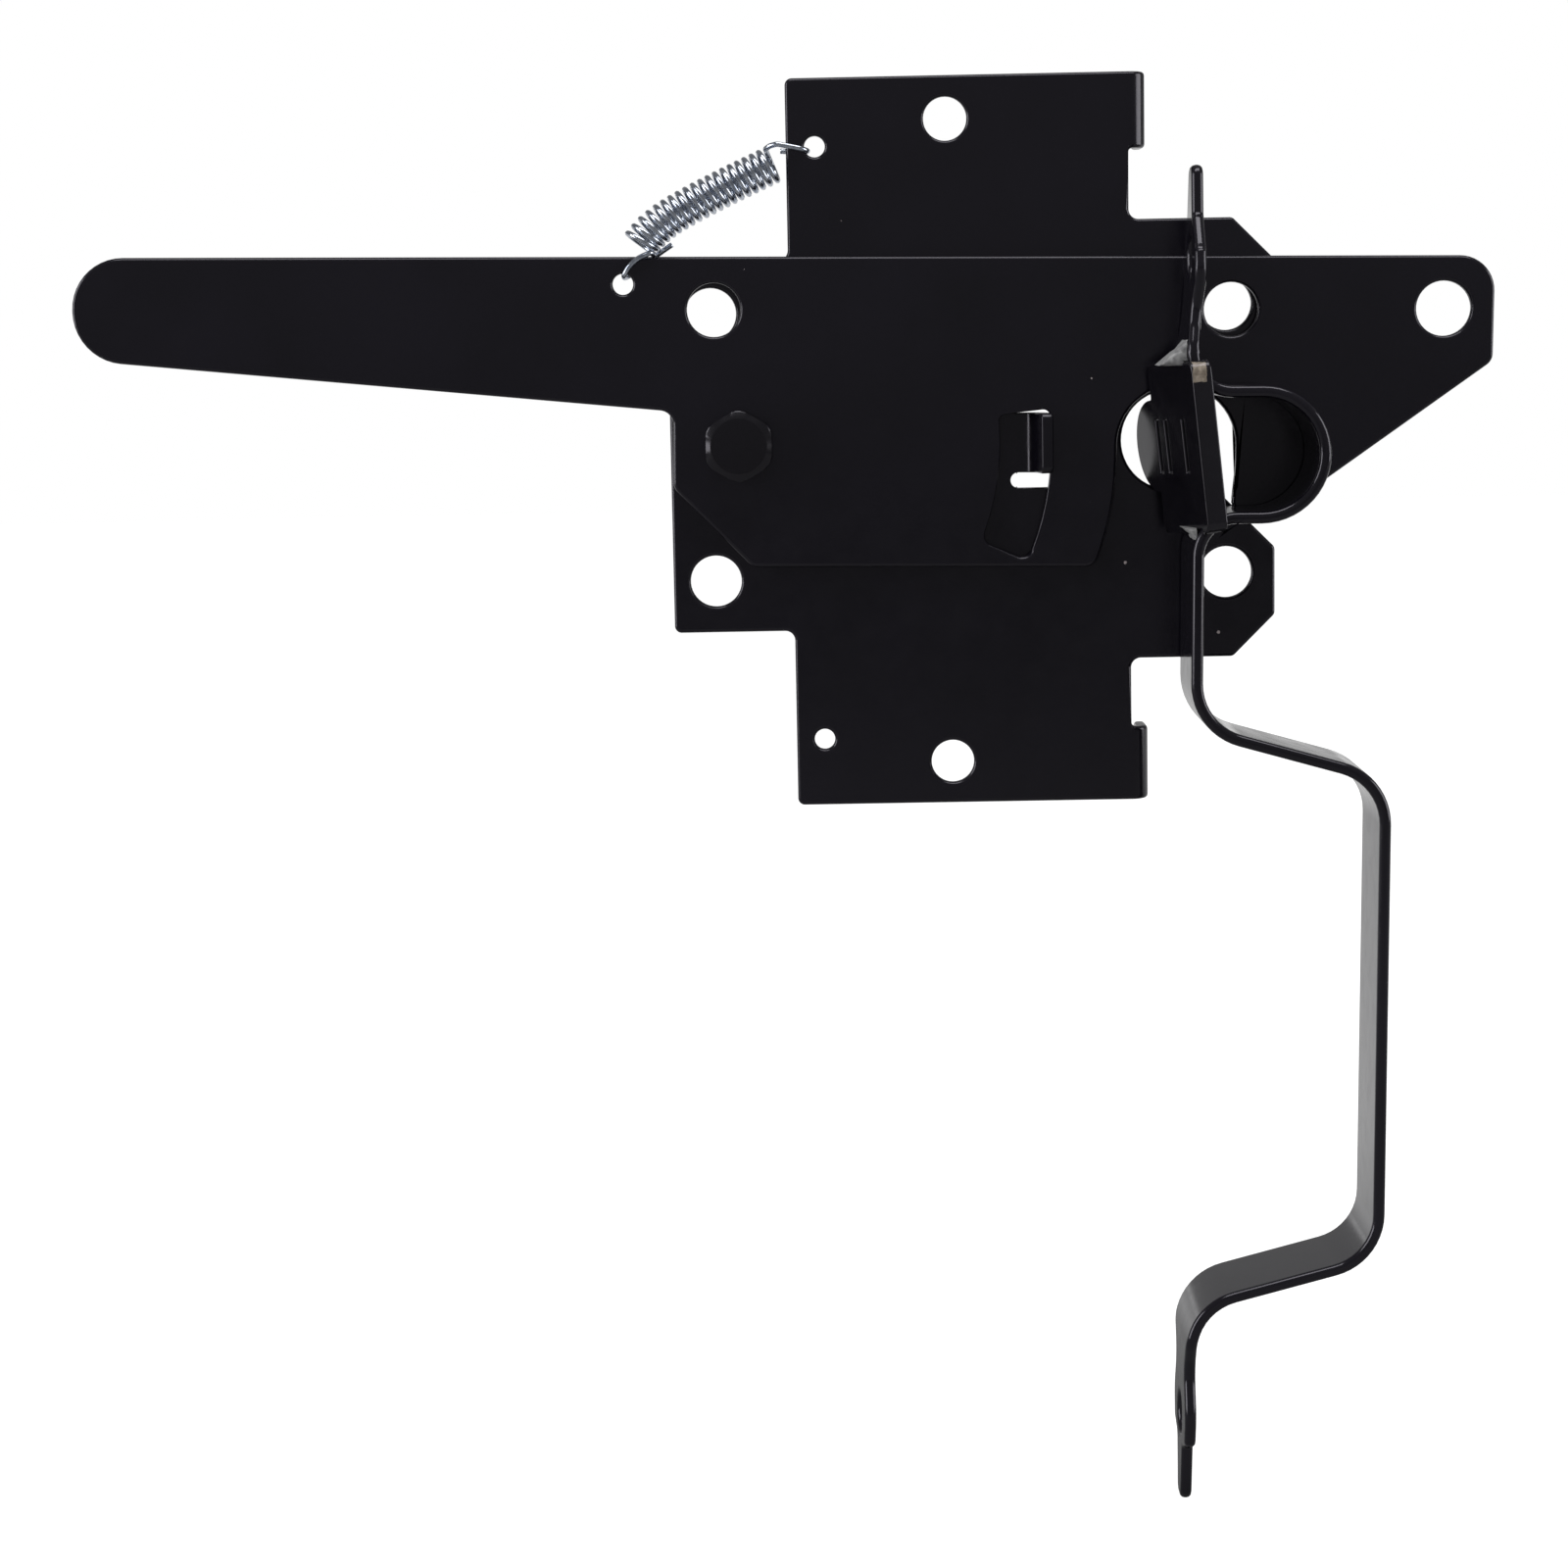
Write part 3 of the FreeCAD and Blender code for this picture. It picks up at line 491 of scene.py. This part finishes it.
# ---------------------------------------------------------------------------
# Strike tongue: thicker plate with a rounded nose and three sawn grooves, welded across the mouth
# of the handle's loop. Its front has a bare patch where the coat was rubbed off at the top.
tongue_coat = satin_black("tongue_powder_coat", tint=(0.0042, 0.0038, 0.0056), gloss=0.20, dust=0.4)
tree = tongue_coat.node_tree
shader = tree.nodes["Principled BSDF"]
coat_colour = shader.inputs["Base Color"].links[0].from_socket
place = new_node(tree, "ShaderNodeTexCoord").outputs["Object"]
ragged = new_node(tree, "ShaderNodeTexNoise", Scale=900.0, Detail=4.0)
node_link(tree, place, ragged.inputs["Vector"])
patch_middle = Vector((46.2, -32.7, 14.9)) * mm
patch_half = Vector((1.5, 1.2, 2.2)) * mm
patch = new_node(tree, "ShaderNodeMapping", vector_type="TEXTURE")
patch.inputs["Location"].default_value = patch_middle
patch.inputs["Scale"].default_value = patch_half
node_link(tree, place, patch.inputs["Vector"])
reach = new_node(tree, "ShaderNodeVectorMath", operation="ABSOLUTE")
node_link(tree, patch.outputs["Vector"], reach.inputs[0])
sides = new_node(tree, "ShaderNodeSeparateXYZ")
node_link(tree, reach.outputs["Vector"], sides.inputs["Vector"])
widest = new_node(tree, "ShaderNodeMath", operation="MAXIMUM")
node_link(tree, sides.outputs["X"], widest.inputs[0])
node_link(tree, sides.outputs["Z"], widest.inputs[1])
deepest = new_node(tree, "ShaderNodeMath", operation="MAXIMUM")
node_link(tree, widest.outputs["Value"], deepest.inputs[0])
node_link(tree, sides.outputs["Y"], deepest.inputs[1])
worn = new_node(tree, "ShaderNodeMath", operation="MULTIPLY_ADD")
worn.inputs[1].default_value = 0.8
node_link(tree, ragged.outputs["Fac"], worn.inputs[0])
node_link(tree, deepest.outputs["Value"], worn.inputs[2])
bare = new_node(tree, "ShaderNodeMath", operation="LESS_THAN")
bare.inputs[1].default_value = 1.38
node_link(tree, worn.outputs["Value"], bare.inputs[0])
metal = new_node(tree, "ShaderNodeValToRGB")
metal.color_ramp.elements[0].position = 0.35
metal.color_ramp.elements[0].color = (0.16, 0.13, 0.10, 1.0)
metal.color_ramp.elements[1].position = 0.65
metal.color_ramp.elements[1].color = (0.36, 0.31, 0.25, 1.0)
node_link(tree, ragged.outputs["Fac"], metal.inputs["Fac"])
rubbed = new_node(tree, "ShaderNodeMix", data_type="RGBA")
node_link(tree, bare.outputs["Value"], rubbed.inputs["Factor"])
node_link(tree, coat_colour, rubbed.inputs[6])
node_link(tree, metal.outputs["Color"], rubbed.inputs[7])
node_link(tree, rubbed.outputs[2], shader.inputs["Base Color"])
tongue_low, tongue_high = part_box("strike_tongue")


def round_foot(form):
    """Draws the tongue's foot a little lower and rounds it fully across its thickness."""
    for vert in form.verts:
        if vert.co.z < tongue_low.z + 5 * mm:
            vert.co.z -= 1.6 * mm
    foot = [e for e in form.edges if max(v.co.z for v in e.verts) < tongue_low.z + 3 * mm
            and abs((e.verts[0].co - e.verts[1].co).y) > 0.8 * e.calc_length()
            and e.is_manifold and e.calc_face_angle() > math.radians(60)]
    bmesh.ops.bevel(form, geom=foot, offset=2.1 * mm, offset_type="OFFSET", affect="EDGES",
                    segments=6, profile=0.5, clamp_overlap=True, material=-1)


tongue = finished_piece("welded_tongue", softened("strike_tongue", 0.4 * mm, reshape=round_foot),
                        tongue_coat, "mounting", "strike_tongue")

# ---------------------------------------------------------------------------
# Welds: two lumps of filler metal between the tongue's edge and the strap, thinly coated, so that
# they show grey, grainy and uneven.
weld_metal = bpy.data.materials.new("bare_weld_metal")
weld_metal.use_nodes = True
tree = weld_metal.node_tree
shader = tree.nodes["Principled BSDF"]
place = new_node(tree, "ShaderNodeTexCoord").outputs["Object"]
grain = new_node(tree, "ShaderNodeTexNoise", Scale=800.0, Detail=5.0)
node_link(tree, place, grain.inputs["Vector"])
ash = new_node(tree, "ShaderNodeValToRGB")
ash.color_ramp.elements[0].position = 0.32
ash.color_ramp.elements[0].color = (0.17, 0.17, 0.175, 1.0)
ash.color_ramp.elements[1].position = 0.66
ash.color_ramp.elements[1].color = (0.38, 0.38, 0.38, 1.0)
node_link(tree, grain.outputs["Fac"], ash.inputs["Fac"])
node_link(tree, ash.outputs["Color"], shader.inputs["Base Color"])
shader.inputs["Roughness"].default_value = 0.55
crust = new_node(tree, "ShaderNodeBump", Strength=0.5, Distance=0.0002)
node_link(tree, grain.outputs["Fac"], crust.inputs["Height"])
node_link(tree, crust.outputs["Normal"], shader.inputs["Normal"])


def swell(form):
    """Gives a drawn weld the full, rounded belly of a real one, and drops the lower one a little."""
    low = Vector(min(v.co[k] for v in form.verts) for k in range(3))
    high = Vector(max(v.co[k] for v in form.verts) for k in range(3))
    upper = high.z > 0
    bmesh.ops.triangulate(form, faces=form.faces[:])
    for _ in range(3):
        bmesh.ops.subdivide_edges(form, edges=form.edges[:], cuts=1)
        bmesh.ops.triangulate(form, faces=form.faces[:])
    for vert in form.verts:
        across = (vert.co.x - low.x) / (high.x - low.x)
        rise = (vert.co.z - low.z) / (high.z - low.z)
        if upper:
            vert.co.x = high.x - (high.x - vert.co.x) * 0.82
            vert.co.z += 1.5 * mm * rise * math.sin(math.pi * min(across * 0.9 + 0.1, 1.0))
        else:
            vert.co.z -= 1.6 * mm
            vert.co.x += 0.8 * mm * (1 - across)
    bmesh.ops.smooth_vert(form, verts=form.verts[:], factor=0.5, use_axis_x=True, use_axis_y=True,
                          use_axis_z=True)
    for vert in form.verts:
        vert.co += noise.noise_vector(vert.co * 900) * (0.14 * mm)


for name, node in (("upper_weld_bead", "upper_weld"), ("lower_weld_bead", "lower_weld")):
    form = bmesh.new()
    form.from_mesh(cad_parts[node].data)
    bmesh.ops.remove_doubles(form, verts=form.verts[:], dist=0.02 * mm)
    bmesh.ops.dissolve_degenerate(form, dist=0.02 * mm, edges=form.edges[:])
    swell(form)
    finished_piece(name, form, weld_metal, "mounting", node)
